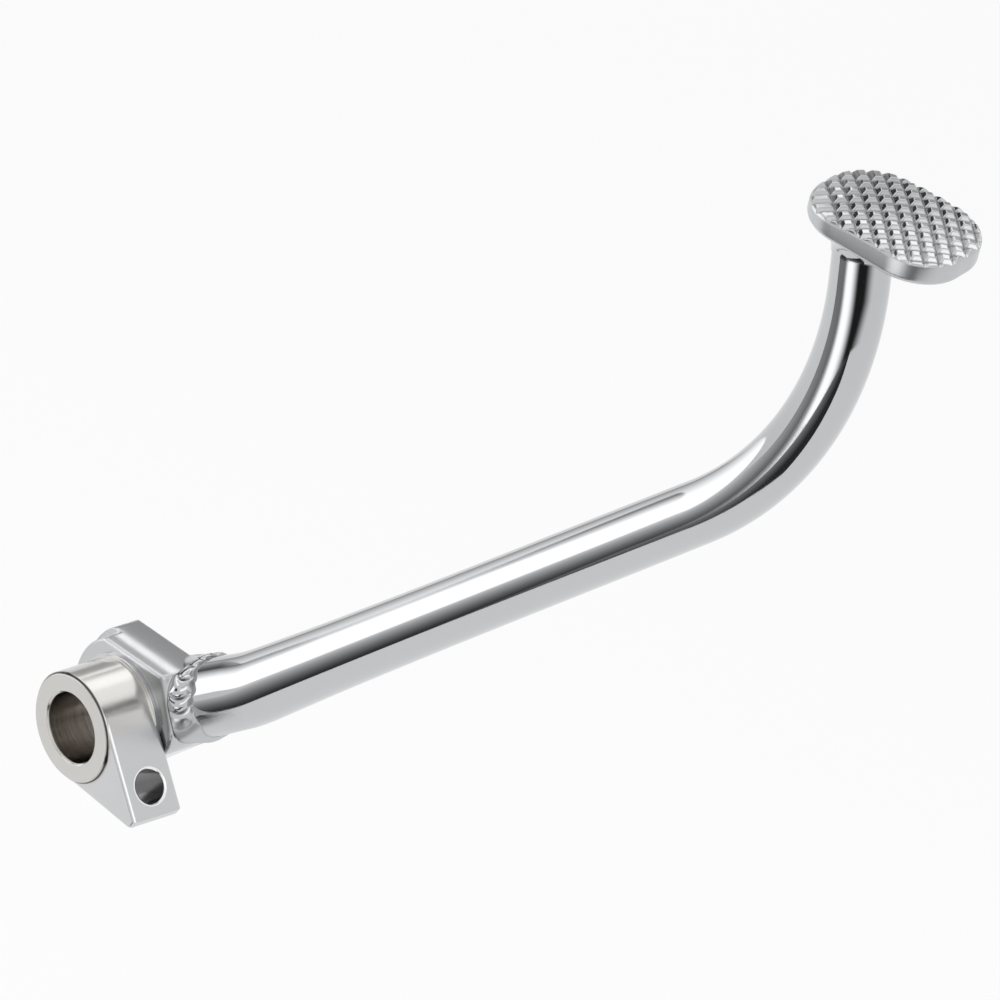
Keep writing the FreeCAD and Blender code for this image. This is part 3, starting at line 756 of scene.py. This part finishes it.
# The grounds that the arm mirrors, in millimetres. The run's grows paler along this way out from the arm.
RUN_GROUND_WAY = (-0.52, -0.855, 0)
RUN_GROUND_CORNERS = ((-320, -420), (-42, -659), (300, -900), (0, -1150), (-170, -1250), (-170, -1400),
                      (-1700, -3600), (-3200, -3600), (-1500, -1900))
BEND_GROUND_CORNERS = ((-42, -659), (150, -560), (265, -470), (422, -260), (600, -290), (820, -350))
BEND_GROUND_BEARINGS = range(-33, -106, -4)
POST_GROUND_NEAR = 950
POST_GROUND_FAR = 1900
POST_GROUND_BEARINGS = range(-104, 17, 4)

# How the grounds' light changes: from where to where, in metres or degrees, and from what to what
RUN_NEAR_PART = (0.7, 1.7, 0.05, 0.42)
RUN_FAR_PART = (1.7, 3.9, 0.0, 0.58)
BEND_FADE = (-0.5, -0.95, 0.035, 0.32)
POST_WHITE = (-78.0, -46.0, 1.85, 0.02)
POST_WHITE_END = (-104.0, -88.0, 0.2, 1.0)
POST_PALE = (-24.0, 15.0, 0.0, ROOM_LIGHT)
POST_NEARER_SHIFT = (1.0, 1.35, 12.0, 0.0)

KEY_PLACE = Vector((-0.6, -0.9, 1.6))
KEY_AIM = Vector((0.08, 0.04, 0.05))
KEY_SIZE = 1.0
KEY_POWER = 6.0

# The camera: the photograph's angle, found from the boss, the arm and the pad
CAMERA_RIGHT = Vector((0.6312, 0.7701, 0.0925))
CAMERA_BACK = Vector((0.6478, -0.5890, 0.4830))
CAMERA_DISTANCE = 6422.2 * MM
CAMERA_AIM = Vector((39.95, 74.63, 55.0)) * MM
CAMERA_LENS = 1000
CAMERA_SENSOR = 36
CAMERA_SIGHT = 100


def flat_colour(name, colour):
    """A matt material of one colour."""
    shader = Shader(name)
    shader.dress_surface(Base_Color=colour, Roughness=FLOOR_ROUGHNESS, Specular_IOR_Level=0.0)
    return shader.material


def glow(name, level=0.0):
    """A shader for a card that only gives light."""
    shader = Shader(name)
    shader.dress_surface(Base_Color=BLACK, Specular_IOR_Level=0.0)
    shader.dress_surface(Emission_Color=WHITE, Emission_Strength=level)
    return shader


def mirrored_only(piece):
    """Leaves a card to the metal's reflections."""
    piece.visible_camera = False
    piece.visible_diffuse = False
    piece.visible_shadow = False


def direction(azimuth, elevation):
    turn, rise = math.radians(azimuth), math.radians(elevation)
    return Vector((math.cos(turn) * math.cos(rise), math.sin(turn) * math.cos(rise), math.sin(rise)))


def dome_card(name, azimuths, elevations, level, far_level=None, by_height=True, radius=CARD_RADIUS):
    """A card bent round the arm, whose light runs from one level to another up or along it."""
    points = []
    for row in range(CARD_STEPS + 1):
        rise = elevations[0] + (elevations[1] - elevations[0]) * row / CARD_STEPS
        for column in range(CARD_STEPS + 1):
            turn = azimuths[0] + (azimuths[1] - azimuths[0]) * column / CARD_STEPS
            points.append(ARM_MIDDLE + direction(turn, rise) * radius)
    wide = CARD_STEPS + 1
    faces = []
    for row in range(CARD_STEPS):
        for column in range(CARD_STEPS):
            corner = row * wide + column
            faces.append((corner, corner + 1, corner + wide + 1, corner + wide))

    shader = glow(name, level)
    if far_level is not None:
        x, y, z = shader.split(shader.minus(shader.place_in_metres(), ARM_MIDDLE))
        if by_height:
            low, high = (math.sin(math.radians(angle)) * radius for angle in elevations)
            strength = shader.remap(z, low, high, level, far_level)
        else:
            start, end = (math.radians(angle) for angle in azimuths)
            turn = shader.math("WRAP", shader.math("ARCTAN2", y, x), start + math.pi, start - math.pi)
            strength = shader.remap(turn, start, end, level, far_level)
        shader.dress_surface(Emission_Strength=strength)
    mirrored_only(add_mesh(name, points, faces, shader.material))


def floor_card(name, corners, shader, lift=CARD_LIFT):
    points = [Vector((x * MM, y * MM, FLOOR_LEVEL + lift * MM)) for x, y in corners]
    mirrored_only(add_mesh(name, points, [range(len(points))], shader.material))


def build_floor():
    signs = ((-1, -1), (1, -1), (1, 1), (-1, 1))
    corners = [Vector((x * FLOOR_REACH, y * FLOOR_REACH, FLOOR_LEVEL)) for x, y in signs]
    add_mesh("floor", corners, [(0, 1, 2, 3)], flat_colour("floor", FLOOR_COLOUR))


def build_room():
    world = bpy.data.worlds.new("room")
    scene.world = world
    world.use_nodes = True
    background = world.node_tree.nodes["Background"]
    background.inputs["Color"].default_value = WHITE
    background.inputs["Strength"].default_value = ROOM_LIGHT


def build_panels():
    """White panels at the arm's own height on the left and above, with dark flags between them.

    Each has its azimuths and elevations in degrees, and its light.
    """
    dome_card("left_panel", (-122, -157), (-9, 8.8), 1.9)
    dome_card("left_panel_end", (-157, -200), (-9, 8.8), 1.9, 0.4, by_height=False)
    dome_card("left_panel_top", (-122, -150), (8.8, 18.5), 1.9)
    dome_card("left_panel_top_end", (-150, -174), (8.8, 18.5), 1.9, 0.2, by_height=False)
    dome_card("left_flag", (-174, -205), (8.8, 17), 0.6, 0.1)
    dome_card("left_flag_top", (-174, -205), (17, 29), 0.06)
    dome_card("upper_left_flag", (-155, -174), (18.5, 29), 0.06)
    dome_card("front_left_flag", (-96, -122), (9, 30), 0.08)
    dome_card("back_flag", (-205, -260), (8.8, 34), 0.42, 0.55, radius=OUTER_CARD_RADIUS)
    dome_card("back_panel", (-205, -260), (34, 42), 0.55, 0.85, radius=OUTER_CARD_RADIUS)
    dome_card("back_strip", (-214, -224), (30, 36), 1.9)
    dome_card("top_panel", (-120, -260), (42, 58), 1.7)
    dome_card("front_panel", (-60, 22), (18, 38), 1.75)
    dome_card("front_panel_top", (-60, 22), (38, 58), 1.5, 0.5)
    dome_card("right_flag", (32, 68), (29, 43), 0.2)
    dome_card("right_panel", (45, 110), (45, 62), 1.3)


def build_run_ground():
    """The dark ground in front, which the lower middle of the arm mirrors, paler far out."""
    shader = glow("dark_strip")
    distance = shader.dot(shader.place_in_metres(), RUN_GROUND_WAY)
    near_part = shader.remap(distance, *RUN_NEAR_PART)
    far_part = shader.remap(distance, *RUN_FAR_PART)
    shader.dress_surface(Emission_Strength=shader.math("ADD", near_part, far_part))
    floor_card("dark_strip", RUN_GROUND_CORNERS, shader)


def beside_post(reach, bearing):
    """A place on the floor at a reach and a bearing from under the post, in millimetres."""
    turn = math.radians(bearing)
    return ARM_END.x + reach * math.cos(turn), ARM_END.y + reach * math.sin(turn)


def build_bend_ground():
    """The dark ground that the arm's upper bend mirrors, between those of the run and the post."""
    shader = glow("bend_ground")
    y = shader.split(shader.place_in_metres())[1]
    shader.dress_surface(Emission_Strength=shader.remap(y, *BEND_FADE))
    far_edge = [beside_post(POST_GROUND_NEAR, bearing) for bearing in BEND_GROUND_BEARINGS]
    floor_card("bend_ground", [*BEND_GROUND_CORNERS, *far_edge], shader, lift=UPPER_CARD_LIFT)


def build_post_ground():
    """The ground that the post mirrors: white on the left, fading to black in front and back to pale."""
    shader = glow("post_ground")
    foot = Vector((ARM_END.x * MM, ARM_END.y * MM, FLOOR_LEVEL))
    from_foot = shader.minus(shader.place_in_metres(), foot)
    x, y = shader.split(from_foot)[:2]
    bearing = shader.math("DEGREES", shader.math("ARCTAN2", y, x))
    white = shader.remap(bearing, *POST_WHITE, smooth=True)
    white_end = shader.remap(bearing, *POST_WHITE_END, smooth=True)
    nearer_shift = shader.remap(shader.length(from_foot), *POST_NEARER_SHIFT)
    nearer_bearing = shader.math("ADD", bearing, nearer_shift)
    pale = shader.remap(nearer_bearing, *POST_PALE, smooth=True)
    strength = shader.math("ADD", shader.math("MULTIPLY", white, white_end), pale)
    shader.dress_surface(Emission_Strength=strength)
    near_edge = [beside_post(POST_GROUND_NEAR, place) for place in POST_GROUND_BEARINGS]
    far_edge = [beside_post(POST_GROUND_FAR, place) for place in reversed(POST_GROUND_BEARINGS)]
    floor_card("post_ground", near_edge + far_edge, shader)


def build_key_light():
    """A soft lamp above on the left, which mirrors don't show."""
    lamp = bpy.data.lights.new("key", "AREA")
    lamp.shape = "DISK"
    lamp.size = KEY_SIZE
    lamp.energy = KEY_POWER
    key = bpy.data.objects.new("key", lamp)
    scene.collection.objects.link(key)
    key.location = KEY_PLACE
    key.rotation_mode = "QUATERNION"
    key.rotation_quaternion = (KEY_AIM - KEY_PLACE).to_track_quat("-Z", "Y")
    key.visible_camera = False
    key.visible_glossy = False


def build_camera():
    data = bpy.data.cameras.new("camera")
    data.lens = CAMERA_LENS
    data.sensor_width = CAMERA_SENSOR
    data.clip_end = CAMERA_SIGHT
    camera = bpy.data.objects.new("camera", data)
    scene.collection.objects.link(camera)
    back = CAMERA_BACK.normalized()
    right = (CAMERA_RIGHT - back * CAMERA_RIGHT.dot(back)).normalized()
    up = back.cross(right)
    turn = Matrix((right, up, back)).transposed().to_4x4()
    camera.matrix_world = Matrix.Translation(CAMERA_AIM + back * CAMERA_DISTANCE) @ turn
    scene.camera = camera


weld = weld_metal()
dress("hub_block", brushed_chrome())
dress("pivot_boss", turned_nickel())
for node in ("pad_weld", "boss_weld"):
    dress(node, weld)

build_arm(polished_chrome())
build_arm_weld(weld)
build_pad(treaded_chrome())

build_floor()
build_room()
build_panels()
build_run_ground()
build_bend_ground()
build_post_ground()
build_key_light()
build_camera()
